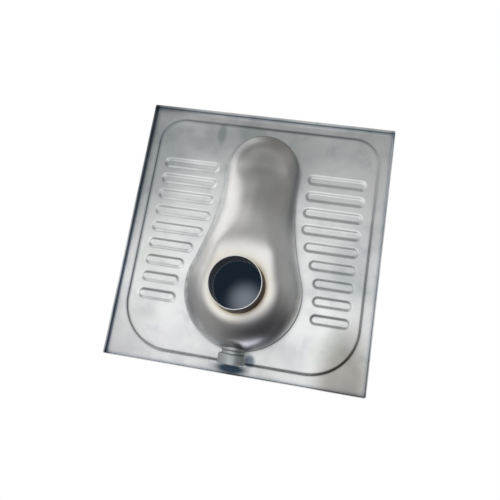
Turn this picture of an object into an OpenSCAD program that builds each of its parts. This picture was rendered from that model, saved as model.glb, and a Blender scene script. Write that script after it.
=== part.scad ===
// Stainless steel squat toilet pan, flush with the floor, with a rear outlet spigot
// and a rear flush inlet.
//
// Frame: +Z up, +Y towards the wall behind the user, +X to the user's right when seen from
// above with the wall at the top.  The origin is the middle of the rim's top face, which is
// level with the finished floor.  Everything else hangs below that face.

/* [Tray] */
// Width of the tray, side to side
tray_w = 575; // [560:1:700]
// Length of the tray, front to wall side
tray_l = 600; // [580:1:720]
// Thickness of the pressed sheet
sheet_t = 1.2; // [1:0.1:1.6]
// Height of the turned-down edge, below the rim's top face
skirt_h = 16; // [12:1:40]
// Outer radius of the folded edge
fold_r = 3; // [2:0.5:3.5]
// Radius of the tray's four upright corners
corner_r = 4; // [3.5:0.5:8]
// Width of the flat rim, from the edge to the middle of the step
rim_w = 27; // [20:1:32]

/* [Step and tread] */
// Drop from the rim to the tread plate
step_h = 8; // [5:0.5:12]
// Width of the sloping step
step_run = 8; // [6:0.5:12]
// Plan radius of the step's two front corners
step_front_r = 59; // [40:1:70]
// Plan radius of the step's two rear corners
step_rear_r = 108; // [70:1:115]

/* [Foot ribs] */
// Number of ribs under each foot
rib_count = 9; // [5:1:9]
// Distance from rib to rib
rib_pitch = 39.4; // [34:0.2:40]
// Width of a rib, along the pan
rib_w = 27; // [22:0.5:30]
// Height of a rib above the tread plate
rib_h = 3.5; // [2:0.25:5]
// Width of a rib's rolled shoulder
rib_run = 6; // [5:0.25:8]
// Distance from the tray's front edge to the frontmost rib's centre line
rib_setback = 140; // [120:1:150]
// Width of bare plate between the ribs' outer ends and the step
rib_margin = 16; // [10:1:30]
// Bare plate between the ribs and the narrow front of the bowl
rib_gap_front = 15; // [10:1:22]
// Bare plate between the ribs and the wide rear of the bowl
rib_gap_rear = 18; // [14:1:24]
// Distance from the front end's centre to where the ribs' inner ends start to swing out
rib_swing_lead = 98; // [80:1:110]
// Distance from the outlet's centre line back to where they stop swinging out
rib_swing_stop = 10; // [0:1:25]

/* [Bowl opening] */
// Plan radius of the opening's narrow front end
opening_front_r = 87; // [75:1:92]
// Plan radius of the opening's wide rear end
opening_rear_r = 131; // [120:1:136]
// Plan radius of the hollow flanks that join the two ends
waist_r = 600; // [450:10:900]
// Distance from the tray's front edge to the centre of the opening's front end
opening_setback = 142; // [130:1:160]
// Radius of the plate's bend down into the collar
collar_r = 6; // [4:0.5:8]
// Height of the straight part of the collar
collar_h = 8; // [6:0.5:14]

/* [Bowl] */
// Depth of the bowl at the outlet, from the rim's top face
bowl_depth = 133; // [120:1:160]
// Depth of the bowl at its front end, from the rim's top face
bowl_front_depth = 66; // [55:1:90]
// Share of the opening's width that is flat bottom, at the front
flat_front = 0.6; // [0.4:0.01:0.72]
// Share by which that flat narrows to a crown, half-way to the outlet
flat_dip = 0.38; // [0:0.01:0.38]
// Squareness of the flanks: 2 is a quarter ellipse, more is boxier
flank_power = 2.2; // [2:0.1:3]
// Height by which the bowl's edge laps over the collar
lap_h = 6; // [4:0.5:6]
// Gap between the bowl and the collar inside it
lap_gap = 0.1; // [0.05:0.05:0.3]
// Height of the weld along the bowl's edge
seam_bead = 2; // [1.5:0.25:3]

/* [Outlet] */
// Distance from the tray's wall-side edge to the centre of the outlet and the bowl's rear end
outlet_setback = 180; // [175:1:190]
// Outside diameter of the outlet spigot
outlet_d = 101.6; // [89:0.1:110]
// Wall of the outlet spigot
outlet_wall = 1.5; // [1.2:0.1:3]
// Length of the outlet spigot below the bowl
outlet_len = 56; // [40:1:120]
// Leg of the weld round the spigot
outlet_bead = 3.5; // [2.5:0.5:5]
// Width of the flat land that the bowl has round that weld
outlet_land = 4; // [3:0.5:8]

/* [Flush inlet] */
// Height of bowl wall between the collar's end and the nipple
inlet_cover = 5; // [4.5:0.5:8]
// Outside diameter of the inlet nipple
nipple_d = 42.4; // [33.7:0.1:44]
// Wall of the inlet nipple
nipple_wall = 2.6; // [1.5:0.1:3]
// Length of nipple that shows between the bowl and the socket
nipple_gap = 8; // [5:0.5:12]
// Length of nipple inside the bowl
nipple_inside = 5; // [3:0.5:8]
// Outside diameter of the inlet socket
socket_d = 57; // [50:0.5:60]
// Length of the inlet socket
socket_len = 22; // [20:1:30]
// Depth of the nipple's seat in the socket
socket_seat = 7; // [5:0.5:9]
// Thread diameter of the socket's open end
socket_bore_d = 39; // [30:0.5:40]
// Leg of the weld round the nipple
inlet_bead = 3; // [2:0.5:4]
// Running gap round the nipple where it passes the bowl and enters the socket
nipple_clear = 0.1; // [0.05:0.05:0.3]

/* [Flush spreader] */
// Angle that the spreader's hood covers, about the outlet's centre line
hood_angle = 44; // [34:1:60]
// Gap between the nipple's end and the hood's face
hood_gap = 13; // [10:1:20]
// Height of the hood's face below the inlet's centre line
hood_drop = 24; // [18:1:30]

/* [Hidden] */
$fn = 96;

bend_steps = 5;      // flats in each pressed bend
front_steps = 18;    // points along each side of the bowl's front end
waist_steps = 14;    // points along each flank
rear_steps = 24;     // points along each side of the bowl's rear end
wall_rings = 14;     // rings of points down the bowl's wall
rib_facets = 48;     // facets round a rib's end
fine_facets = 720;   // facets round a circle of which only a short stretch is kept
cut = 1;             // extra length of a cutting solid
tuck = 0.4;          // width by which a bent strip runs into the flat sheet beside it
weld_bevel = 0.8;    // bevel on the spigot's welded end
weld_root = 8;       // depth to which the inlet's weld is drawn before the bowl cuts it
bead_steps = 3;      // flats across a weld's face
bead_power = 1.4;    // fullness of a weld's face: 2 is flat, 1 is a quarter circle

satin = [0.72, 0.73, 0.73];
brushed = [0.78, 0.78, 0.77];
tube_grey = [0.62, 0.63, 0.65];
cast_grey = [0.56, 0.58, 0.58];
bead_tan = [0.66, 0.60, 0.50];

// ---- places along the pan ----
outlet_y = tray_l / 2 - outlet_setback;
opening_front_y = opening_setback - tray_l / 2;
rib_first_y = rib_setback - tray_l / 2;

// ---- levels ----
plate_top = -step_h;
plate_bottom = plate_top - sheet_t;
rib_top = plate_top + rib_h;
collar_end = plate_top - collar_r - collar_h;
bowl_edge = collar_end + lap_h;
bowl_bottom = -bowl_depth - sheet_t;
outlet_end = bowl_bottom - outlet_len;

// ---- the opening's outline: three tangent arcs on each side ----
// Centre of the right flank's arc, which touches both end arcs from outside
front_reach = waist_r + opening_front_r;
rear_reach = waist_r + opening_rear_r;
end_span = outlet_y - opening_front_y;
waist_dy = (front_reach * front_reach - rear_reach * rear_reach + end_span * end_span)
           / (2 * end_span);
waist_y = opening_front_y + waist_dy;
waist_x = sqrt(front_reach * front_reach - waist_dy * waist_dy);
// Directions, seen from the end arcs' centres, in which they meet the flank's arc
front_turn = atan2(waist_y - opening_front_y, waist_x);
rear_turn = atan2(waist_y - outlet_y, waist_x);

// One side of the outline, front to rear, moved inwards by inset.  Each point is
// [x, y, y of the spine point it belongs to, share of the way from the front end to the outlet].
function outline_side(inset) = concat(
    [for (i = [0:front_steps - 1])
        let (a = -90 + (90 + front_turn) * i / front_steps, r = opening_front_r - inset)
        [r * cos(a), opening_front_y + r * sin(a), opening_front_y, 0]],
    [for (i = [0:waist_steps])
        let (u = i / waist_steps, a = 180 + front_turn + (rear_turn - front_turn) * u,
             r = waist_r + inset)
        [waist_x + r * cos(a), waist_y + r * sin(a), opening_front_y + end_span * u, u]],
    [for (i = [1:rear_steps])
        let (a = rear_turn + (90 - rear_turn) * i / rear_steps, r = opening_rear_r - inset)
        [r * cos(a), outlet_y + r * sin(a), outlet_y, 1]]);
// The whole outline, which starts at the front and runs round by the right-hand side
function outline(inset) =
    let (side = outline_side(inset))
    concat(side, [for (i = [len(side) - 2:-1:1]) [-side[i][0], side[i][1], side[i][2], side[i][3]]]);

// Smooth rise from 0 to 1
function ease(u) = (1 - cos(180 * min(1, max(0, u)))) / 2;

// ---- section of a sheet that steps from one level to another ----
// The sheet runs level, rolls through two equal bends and runs level again.  Its top face
// goes from [0, 0] to [run, rise]; the list closes along its lower face.
function step_angle(run, rise) = 2 * atan2(abs(rise), run);
function step_mid(run, rise) =
    let (turn = step_angle(run, rise), r = run / 2 / sin(turn), s = sign(rise))
    concat([for (i = [0:bend_steps])
                let (a = turn * i / bend_steps) [r * sin(a), s * r * (1 - cos(a)), s * a]],
           [for (i = [bend_steps - 1:-1:0])
                let (a = turn * i / bend_steps)
                [run - r * sin(a), rise - s * r * (1 - cos(a)), s * a]]);
function shifted(line, by) = [for (p = line) [p[0] - by * sin(p[2]), p[1] + by * cos(p[2])]];
function reversed(list) = [for (i = [len(list) - 1:-1:0]) list[i]];
function step_section(run, rise) =
    let (mid = step_mid(run, rise))
    concat([[-tuck, 0]], shifted(mid, 0), [[run + tuck, rise], [run + tuck, rise - sheet_t]],
           reversed(shifted(mid, -sheet_t)), [[-tuck, -sheet_t]]);

// ---- sweeps round the tray ----
// A quarter turn of the section given as children, about a corner's centre.  The section's
// X axis points away from the centre.
module quarter(at, turn, r) {
    translate(at)
        rotate([0, 0, turn])
            rotate_extrude(angle = 90)
                translate([r, 0])
                    children();
}

// A straight run of the same section between two corners
module straight(from, heading, length) {
    translate(from)
        rotate([0, 0, heading])
            rotate([90, 0, 90])
                linear_extrude(length)
                    children();
}

// The section swept round a rectangle with rounded corners; x = 0 lies on the rectangle
module round_rect_sweep(w, l, front_r, rear_r) {
    fx = w / 2 - front_r;
    fy = l / 2 - front_r;
    rx = w / 2 - rear_r;
    ry = l / 2 - rear_r;
    quarter([fx, -fy, 0], -90, front_r) children();
    quarter([-fx, -fy, 0], 180, front_r) children();
    quarter([rx, ry, 0], 0, rear_r) children();
    quarter([-rx, ry, 0], 90, rear_r) children();
    straight([w / 2, ry, 0], -90, ry + fy) children();
    straight([-w / 2, -fy, 0], 90, ry + fy) children();
    straight([-rx, l / 2, 0], 0, 2 * rx) children();
    straight([fx, -l / 2, 0], 180, 2 * fx) children();
}

module round_rect(w, l, front_r, rear_r) {
    union() {
        for (side = [-1, 1]) {
            translate([side * (w / 2 - front_r), -l / 2 + front_r]) circle(front_r);
            translate([side * (w / 2 - rear_r), l / 2 - rear_r]) circle(rear_r);
        }
        polygon([[-w / 2, -l / 2 + front_r], [-w / 2 + front_r, -l / 2],
                 [w / 2 - front_r, -l / 2], [w / 2, -l / 2 + front_r],
                 [w / 2, l / 2 - rear_r], [w / 2 - rear_r, l / 2],
                 [-w / 2 + rear_r, l / 2], [-w / 2, l / 2 - rear_r]]);
    }
}

// A section swept round the opening.  A point of the section is [distance outside the
// outline, level], and the points run anticlockwise.
module outline_sweep(section) {
    n = len(outline(0));
    m = len(section);
    function at(j, i) = (j % m) * n + i % n;
    polyhedron([for (p = section, q = outline(-p[0])) [q[0], q[1], p[1]]],
               [for (j = [0:m - 1], i = [0:n - 1])
                for (face = [[at(j, i), at(j + 1, i), at(j + 1, i + 1)],
                             [at(j, i), at(j + 1, i + 1), at(j, i + 1)]])
                face]);
}

// ---- foot ribs ----
rib_outer_x = tray_w / 2 - rim_w - step_run / 2 - rib_margin;
rib_swing_start = opening_front_y + rib_swing_lead;
rib_swing_end = outlet_y - rib_swing_stop;
function rib_y(i) = rib_first_y + i * rib_pitch;
function rib_inner_x(i) =
    let (near = opening_front_r + rib_gap_front, far = opening_rear_r + rib_gap_rear)
    tenth(near + (far - near)
          * ease((rib_y(i) - rib_swing_start) / (rib_swing_end - rib_swing_start)));
// Rounded to a tenth of a millimetre
function tenth(x) = round(10 * x) / 10;

// Half of a rib's section: from its middle, over its shoulder, down to the plate
function rib_half() =
    let (mid = step_mid(rib_run, -rib_h),
         edge = rib_w / 2 - rib_run,
         end = rib_w / 2 + tuck,
         top = [for (p = shifted(mid, 0)) [edge + p[0], rib_top + p[1]]],
         low = [for (p = shifted(mid, -sheet_t)) [edge + p[0], rib_top + p[1]]])
    concat([[0, rib_top]], top, [[end, plate_top], [end, plate_bottom]],
           reversed(low), [[0, rib_top - sheet_t]]);

module rib(i) {
    from = rib_inner_x(i) + rib_w / 2;
    to = rib_outer_x - rib_w / 2;
    half = rib_half();
    translate([to, rib_y(i)]) rotate([0, 0, -90]) rotate_extrude(angle = 180, $fn = rib_facets)
        polygon(half);
    translate([from, rib_y(i)]) rotate([0, 0, 90]) rotate_extrude(angle = 180, $fn = rib_facets)
        polygon(half);
    straight([from, rib_y(i), 0], 0, to - from)
        polygon(concat([for (p = half) if (p[0] > 0) p],
                       [for (p = reversed(half)) if (p[0] > 0) [-p[0], p[1]]]));
}

module rib_hole(i) {
    from = rib_inner_x(i) + rib_w / 2;
    to = rib_outer_x - rib_w / 2;
    translate([from, rib_y(i)]) circle(rib_w / 2, $fn = rib_facets);
    translate([to, rib_y(i)]) circle(rib_w / 2, $fn = rib_facets);
    translate([from, rib_y(i) - rib_w / 2]) square([to - from, rib_w]);
}

// Face of a fillet weld in its corner, from [w, 0] over to [0, h]
function bead(w, h) =
    [for (i = [0:bead_steps])
        let (a = 90 * i / bead_steps)
        [w * pow(cos(a), bead_power), h * pow(sin(a), bead_power)]];

// ---- pieces ----
// Pressed tray: rim with a turned-down edge, step, ribbed tread plate and a collar that is
// drawn down round the bowl's opening
module tread_tray() {
    rim_in = rim_w - step_run / 2;
    well_in = rim_w + step_run / 2;
    color(brushed) union() {
        // Folded edge and skirt
        round_rect_sweep(tray_w - 2 * fold_r, tray_l - 2 * fold_r,
                         corner_r - fold_r, corner_r - fold_r)
            skirt_section();
        // Flat rim
        translate([0, 0, -sheet_t]) linear_extrude(sheet_t) difference() {
            round_rect(tray_w - 2 * fold_r, tray_l - 2 * fold_r,
                       corner_r - fold_r, corner_r - fold_r);
            round_rect(tray_w - 2 * rim_in, tray_l - 2 * rim_in,
                       step_front_r + step_run / 2, step_rear_r + step_run / 2);
        }
        // Step down to the tread plate
        round_rect_sweep(tray_w - 2 * well_in, tray_l - 2 * well_in,
                         step_front_r - step_run / 2, step_rear_r - step_run / 2)
            translate([0, plate_top]) polygon(step_section(step_run, step_h));
        // Tread plate
        translate([0, 0, plate_bottom]) linear_extrude(sheet_t) difference() {
            round_rect(tray_w - 2 * well_in, tray_l - 2 * well_in,
                       step_front_r - step_run / 2, step_rear_r - step_run / 2);
            polygon([for (p = outline(0)) [p[0], p[1]]]);
            for (side = [0, 1], i = [0:rib_count - 1]) mirror([side, 0]) rib_hole(i);
        }
        // Foot ribs
        for (side = [0, 1], i = [0:rib_count - 1]) mirror([side, 0, 0]) rib(i);
        // Collar
        outline_sweep(collar_section());
    }
}

// Quarter bend at the tray's edge and the straight skirt below it
module skirt_section() {
    polygon(concat([[-tuck, 0]],
                   [for (i = [0:bend_steps])
                        let (a = 90 - 90 * i / bend_steps)
                        [fold_r * cos(a), -fold_r + fold_r * sin(a)]],
                   [[fold_r, -skirt_h], [fold_r - sheet_t, -skirt_h]],
                   [for (i = [bend_steps:-1:0])
                        let (a = 90 - 90 * i / bend_steps, r = fold_r - sheet_t)
                        [r * cos(a), -fold_r + r * sin(a)]],
                   [[-tuck, -sheet_t]]));
}

// Quarter bend from the plate down into the bowl, and the straight collar below it
function collar_section() =
    concat([[tuck, plate_top]],
           [for (i = [0:bend_steps])
                let (a = 90 * i / bend_steps)
                [-collar_r * sin(a), plate_top - collar_r * (1 - cos(a))]],
           [[-collar_r, collar_end], [-collar_r + sheet_t, collar_end]],
           [for (i = [bend_steps:-1:0])
                let (a = 90 * i / bend_steps, r = collar_r - sheet_t)
                [-r * sin(a), plate_top - collar_r + r * cos(a)]],
           [[tuck, plate_bottom]]);

// ---- bowl ----
bowl_in = collar_r - sheet_t - lap_gap;   // the bowl's inner face, inside the outline
bowl_out = bowl_in - sheet_t;             // its outer face
// The bottom is flat round the outlet, out to the land's edge, and falls towards it
land_r = outlet_d / 2 + outlet_bead + outlet_land;
flat_rear = land_r / opening_rear_r;
fall_end = 1 - land_r / end_span;

// Share of the width that is flat bottom, u of the way from the front end to the outlet
function flat_share(u) =
    flat_front + (flat_rear - flat_front) * ease(u / fall_end)
    - flat_dip * pow(sin(180 * min(1, u / fall_end)), 1.2);

// Drop of the wall at a share tau of the way from the flat bottom out to the edge
function wall_drop(tau) = pow(1 - pow(tau, flank_power), 1 / flank_power);

// A point of the bowl's skin: column p of the outline, share tau, skin's bottom level
function skin_point(p, tau, raise) =
    let (fall = ease(p[3] / fall_end),
         flat = flat_share(p[3]),
         bottom = -bowl_front_depth - (bowl_depth - bowl_front_depth) * fall + raise,
         rho = flat + (1 - flat) * tau)
    [rho * p[0], p[2] + rho * (p[1] - p[2]), bowl_edge + (bottom - bowl_edge) * wall_drop(tau)];

// The rings are closer together where the wall turns fastest
function ring_tau(k) = sin(90 * (1 - k / wall_rings));

module bowl_shell() {
    outer = outline(bowl_out);
    inner = outline(bowl_in);
    n = len(outer);
    half = n / 2;
    rings = wall_rings + 1;
    points = concat(
        [for (k = [0:wall_rings], p = outer) skin_point(p, ring_tau(k), -sheet_t)],
        [for (k = [0:wall_rings], p = inner) skin_point(p, ring_tau(k), 0)]);
    function at(skin, k, i) = skin * rings * n + k * n + (i + n) % n;
    walls = [for (k = [0:wall_rings - 1], i = [0:n - 1])
             for (face = [[at(0, k, i), at(0, k + 1, i + 1), at(0, k + 1, i)],
                          [at(0, k, i), at(0, k, i + 1), at(0, k + 1, i + 1)],
                          [at(1, k, i), at(1, k + 1, i), at(1, k + 1, i + 1)],
                          [at(1, k, i), at(1, k + 1, i + 1), at(1, k, i + 1)]])
             face];
    edge = [for (i = [0:n - 1])
            for (face = [[at(0, 0, i), at(1, 0, i + 1), at(0, 0, i + 1)],
                         [at(0, 0, i), at(1, 0, i), at(1, 0, i + 1)]])
            face];
    bottom = [for (s = [0, 1], i = [0:half - 1])
              for (face = [[at(s, wall_rings, i), at(s, wall_rings, -i - 1),
                            at(s, wall_rings, i + 1)],
                           [at(s, wall_rings, i), at(s, wall_rings, -i),
                            at(s, wall_rings, -i - 1)]])
              if (face[0] != face[1] && face[1] != face[2] && face[0] != face[2])
              s == 1 ? face : [face[0], face[2], face[1]]];
    polyhedron(points, concat(walls, edge, bottom));
}

module bowl() {
    color(satin) difference() {
        bowl_shell();
        translate([0, outlet_y, bowl_bottom - cut])
            cylinder(h = sheet_t + 2 * cut, d = outlet_d - 2 * outlet_wall);
        inlet_at(outlet_y + opening_rear_r / 2)
            cylinder(h = opening_rear_r, d = nipple_d + 2 * nipple_clear);
    }
}

// Fillet weld where the bowl's edge laps over the collar
module bowl_seam_weld() {
    face = -collar_r + sheet_t;
    color(bead_tan)
        outline_sweep(concat([[face, bowl_edge]],
                             [for (p = bead(-bowl_out - face, seam_bead))
                                 [face + p[0], bowl_edge + p[1]]]));
}

// ---- outlet ----
// The spigot's top end is bevelled for the weld, which fills the bevel
module outlet_spigot() {
    color(tube_grey) translate([0, outlet_y, outlet_end]) difference() {
        union() {
            cylinder(h = outlet_len - outlet_bead, d = outlet_d);
            translate([0, 0, outlet_len - outlet_bead])
                cylinder(h = outlet_bead, d1 = outlet_d, d2 = outlet_d - 2 * weld_bevel);
        }
        translate([0, 0, -cut])
            cylinder(h = outlet_len + 2 * cut, d = outlet_d - 2 * outlet_wall);
    }
}

module outlet_weld() {
    r = outlet_d / 2;
    color(bead_tan) translate([0, outlet_y]) rotate_extrude()
        polygon(concat([[r - weld_bevel, bowl_bottom]],
                       [for (p = bead(outlet_bead, outlet_bead))
                           [r + p[0], bowl_bottom - p[1]]]));
}

// ---- flush inlet ----
inlet_depth = nipple_d / 2 + inlet_cover - collar_end;
// The inlet's axis points at the wall; y is where the piece starts
module inlet_at(y) {
    translate([0, y, -inlet_depth]) rotate([-90, 0, 0]) children();
}

// Radius of the bowl's wall about the outlet's centre line, at a level; inset picks the skin
function wall_tau(drop) = pow(1 - pow(drop, flank_power), 1 / flank_power);
function wall_radius(z, inset, raise) =
    let (bottom = -bowl_depth + raise, tau = wall_tau((bowl_edge - z) / (bowl_edge - bottom)))
    (opening_rear_r - inset) * (flat_rear + (1 - flat_rear) * tau);
inlet_outer_r = wall_radius(-inlet_depth, bowl_out, -sheet_t);
inlet_inner_r = wall_radius(-inlet_depth, bowl_in, 0);
nipple_start = outlet_y + inlet_inner_r - nipple_inside;
socket_start = outlet_y + inlet_outer_r + nipple_gap;
nipple_end = socket_start + socket_seat;

module inlet_nipple() {
    length = nipple_end - nipple_start;
    color(cast_grey) inlet_at(nipple_start) difference() {
        cylinder(h = length, d = nipple_d);
        translate([0, 0, -cut])
            cylinder(h = length + 2 * cut, d = nipple_d - 2 * nipple_wall);
    }
}

// Solid of revolution that fills the bowl's rear end out to its outer face
module rear_core() {
    translate([0, outlet_y]) rotate_extrude($fn = fine_facets)
        polygon(concat([[0, bowl_edge]],
                       [for (k = [0:wall_rings])
                           let (p = skin_point([opening_rear_r - bowl_out, outlet_y, outlet_y, 1],
                                               ring_tau(k), -sheet_t))
                           [p[0], p[2]]],
                       [[0, bowl_bottom]]));
}

module inlet_weld() {
    r = nipple_d / 2;
    color(bead_tan) difference() {
        inlet_at(outlet_y + inlet_outer_r - weld_root) rotate_extrude()
            polygon(concat([[r, 0], [r + inlet_bead, 0]],
                           [for (p = bead(inlet_bead, inlet_bead))
                               [r + p[0], weld_root + p[1]]]));
        rear_core();
    }
}

module inlet_socket() {
    outer = socket_d / 2;
    seat = nipple_d / 2 + nipple_clear;
    bore = socket_bore_d / 2;
    shoulder = 4;
    lead = 1;
    color(cast_grey) inlet_at(socket_start) rotate_extrude()
        polygon(concat([[seat, 0], [outer - shoulder, 0]],
                       [for (i = [1:bend_steps])
                           let (a = 90 * i / bend_steps)
                           [outer - shoulder + shoulder * sin(a), shoulder * (1 - cos(a))]],
                       [[outer, socket_len - lead], [outer - lead, socket_len],
                        [bore + lead, socket_len], [bore, socket_len - lead],
                        [bore, socket_seat], [seat, socket_seat]]));
}

// Hood inside the bowl that turns the flush water sideways: a shelf from the wall and a
// curved face in front of the nipple
module flush_spreader() {
    shelf_gap = 0.4;
    shelf_fall = 2;
    bend = 7;
    face_r = nipple_start - outlet_y - hood_gap;
    face_end = -inlet_depth - hood_drop;
    shelf_end = collar_end - shelf_gap;
    shelf_z = shelf_end - shelf_fall;
    shelf_r = wall_radius(shelf_end, bowl_in, 0) - lap_gap;
    function hood_bend(r) =
        [for (i = [0:bend_steps])
            let (a = 90 * i / bend_steps)
            [face_r + bend - r * sin(a), shelf_z - bend + r * cos(a)]];
    color(brushed) translate([0, outlet_y]) rotate([0, 0, 90 - hood_angle / 2])
        rotate_extrude(angle = hood_angle)
            polygon(concat([[shelf_r, shelf_end]], hood_bend(bend),
                           [[face_r, face_end], [face_r + sheet_t, face_end]],
                           reversed(hood_bend(bend - sheet_t)),
                           [[shelf_r, shelf_end - sheet_t]]));
}

tread_tray();
bowl();
bowl_seam_weld();
outlet_spigot();
outlet_weld();
flush_spreader();
inlet_nipple();
inlet_weld();
inlet_socket();
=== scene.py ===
# %% [markdown]
# # A pressed steel squat pan, seen from below
# The object is a stainless squat toilet pan.  The photograph looks up at its underside: the
# back of the pressed tray, the drawn bowl, the outlet spigot and the flush inlet.  The
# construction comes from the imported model.  This script draws the tray and the bowl anew,
# gives every piece its metal, and sets up what that metal mirrors.  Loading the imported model
# first means that every later piece can take its place from it.

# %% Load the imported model
import math

import bmesh
import bpy
import numpy as np
from mathutils import Matrix, Vector, noise
from mathutils.geometry import delaunay_2d_cdt


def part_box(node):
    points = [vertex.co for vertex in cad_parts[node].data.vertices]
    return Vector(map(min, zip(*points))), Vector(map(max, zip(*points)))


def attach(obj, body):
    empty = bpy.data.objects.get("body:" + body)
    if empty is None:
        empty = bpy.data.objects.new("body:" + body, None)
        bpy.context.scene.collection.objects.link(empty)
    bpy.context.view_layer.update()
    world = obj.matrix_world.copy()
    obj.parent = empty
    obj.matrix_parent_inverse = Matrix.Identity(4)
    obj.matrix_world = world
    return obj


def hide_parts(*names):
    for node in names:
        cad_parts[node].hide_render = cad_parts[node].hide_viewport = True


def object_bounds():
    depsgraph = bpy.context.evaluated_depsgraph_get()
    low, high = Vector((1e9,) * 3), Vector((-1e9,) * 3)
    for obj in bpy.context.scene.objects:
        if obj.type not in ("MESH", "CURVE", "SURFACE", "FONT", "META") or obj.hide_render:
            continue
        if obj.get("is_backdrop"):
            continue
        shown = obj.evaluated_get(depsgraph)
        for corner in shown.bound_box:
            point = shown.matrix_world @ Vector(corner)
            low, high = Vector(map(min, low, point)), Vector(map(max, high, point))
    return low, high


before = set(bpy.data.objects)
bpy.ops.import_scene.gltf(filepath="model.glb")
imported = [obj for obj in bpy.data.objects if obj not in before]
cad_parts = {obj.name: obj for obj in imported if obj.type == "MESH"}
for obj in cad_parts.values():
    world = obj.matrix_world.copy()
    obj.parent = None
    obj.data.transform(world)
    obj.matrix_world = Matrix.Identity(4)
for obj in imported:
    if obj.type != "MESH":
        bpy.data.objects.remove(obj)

MM = 0.001
scene = bpy.context.scene
cad_low, cad_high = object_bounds()
print("nodes:", ", ".join(sorted(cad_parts)))
print("size in mm:", [round(v / MM) for v in cad_high - cad_low])

# %% [markdown]
# ## The camera
# A camera could be turned with three angles, but those are hard to read.  Here it gets a
# place, a point that it looks at, and the lean of its upright: the pan's front edge is up in
# the picture, leaning a little to the left.  The lens is the focal length on a 36 mm sensor.

# %% Camera
CAMERA_PLACE = Vector((0.1121, 0.2085, -1.0195))
CAMERA_AIM = Vector((-0.0031, 0.0217, 0.0))
CAMERA_LEAN = math.radians(9.25)
LENS_MM = 32.88
SENSOR_MM = 36


def add_camera():
    """The scene's camera, below the pan and looking up at it."""
    data = bpy.data.cameras.new("camera")
    data.sensor_width = SENSOR_MM
    data.lens = LENS_MM
    camera = bpy.data.objects.new("camera", data)
    scene.collection.objects.link(camera)
    back = (CAMERA_PLACE - CAMERA_AIM).normalized()
    lean = Vector((-math.sin(CAMERA_LEAN), -math.cos(CAMERA_LEAN), 0))
    right = lean.cross(back).normalized()
    up = back.cross(right)
    turn = Matrix((right, up, back)).transposed()
    camera.matrix_world = Matrix.Translation(CAMERA_PLACE) @ turn.to_4x4()
    scene.camera = camera
    return camera


camera = add_camera()
print("camera looks from", [round(v, 3) for v in camera.location])

# %% [markdown]
# ## A short way to write nodes
# A material is a tree of nodes.  In the editor each node is placed and wired by hand, and in
# Python that takes a line for every wire.  This helper adds a node, sets it and wires it in
# one call, so that the trees below read from top to bottom, like a recipe.

# %% Node helper
class Tree:
    """Adds, sets and joins the nodes of a material or a world."""

    def __init__(self, tree):
        self.nodes = tree.nodes
        self.links = tree.links

    def fill(self, socket, value):
        """Joins an output to the socket, or sets the socket's own number or colour."""
        if isinstance(value, bpy.types.NodeSocket):
            self.links.new(value, socket)
        else:
            socket.default_value = value

    def add(self, kind, inputs=None, **settings):
        """A new node with its settings and its inputs, given by name or by number."""
        node = self.nodes.new("ShaderNode" + kind)
        for name, value in settings.items():
            setattr(node, name, value)
        for name, value in (inputs or {}).items():
            self.fill(node.inputs[name], value)
        return node

    def maths(self, operation, *values):
        """One step of arithmetic."""
        return self.add("Math", dict(enumerate(values)), operation=operation).outputs[0]

    def vector(self, operation, *values):
        """One step of arithmetic on places or colours."""
        node = self.add("VectorMath", dict(enumerate(values)), operation=operation)
        return node.outputs["Value" if operation in ("LENGTH", "DISTANCE") else "Vector"]

    def ramp(self, value, low, high, to_low=0.0, to_high=1.0, kind="SMOOTHSTEP"):
        """Maps low and high to to_low and to_high, and holds the value beyond them."""
        ends = {"From Min": low, "From Max": high, "To Min": to_low, "To Max": to_high}
        return self.add("MapRange", {"Value": value, **ends}, interpolation_type=kind).outputs["Result"]


print("node helper ready")

# %% Material helper
class Finish(Tree):
    """A material that has nothing but its output yet."""

    def __init__(self, name):
        self.material = bpy.data.materials.new(name)
        self.material.use_nodes = True
        super().__init__(self.material.node_tree)
        self.nodes.clear()
        self.output = self.add("OutputMaterial")

    def surface(self, shader):
        """Makes the shader the material's surface."""
        self.fill(self.output.inputs["Surface"], shader)

    def one_sided(self, shader):
        """Shows the shader on the face only, and lets rays pass through the back."""
        back = self.add("NewGeometry").outputs["Backfacing"]
        clear = self.add("BsdfTransparent").outputs["BSDF"]
        mix = self.add("MixShader", {"Fac": back, 1: shader, 2: clear})
        self.surface(mix.outputs["Shader"])


print("material helper ready")

# %% [markdown]
# ## The stage
# The photograph is cut out on pure white, so the world is white for the camera and for what
# the steel mirrors, and a plain half level for everything else.  One brightness for all rays
# would be simpler, but white light from every side would wash the pressed shapes out.

# %% World
AMBIENT = 0.55
WHITE = (1, 1, 1, 1)
scene.view_settings.view_transform = "Standard"


def add_world():
    """White where the camera and the mirror-like rays look, plain soft light elsewhere."""
    world = bpy.data.worlds.new("studio")
    world.use_nodes = True
    scene.world = world
    tree = Tree(world.node_tree)
    rays = tree.add("LightPath").outputs
    mirrored = tree.maths("MAXIMUM", rays["Is Camera Ray"], rays["Is Glossy Ray"])
    seen = tree.maths("MAXIMUM", mirrored, rays["Is Transmission Ray"])
    background = tree.nodes["Background"]
    tree.fill(background.inputs["Color"], WHITE)
    tree.fill(background.inputs["Strength"], tree.ramp(seen, 0, 1, AMBIENT, 1, kind="LINEAR"))


add_world()
print("world: white to the eye, ambient level", AMBIENT)

# %% [markdown]
# ## Flat cards
# The floor and all the things that the steel mirrors are flat cards.  A card isn't part of the
# object, so it is declared as stage.  Cycles can hide a piece from some kinds of ray, and
# that is how a card is in a reflection without standing in the picture.

# %% Card helper
UP = Vector((0, 0, 1))


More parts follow.
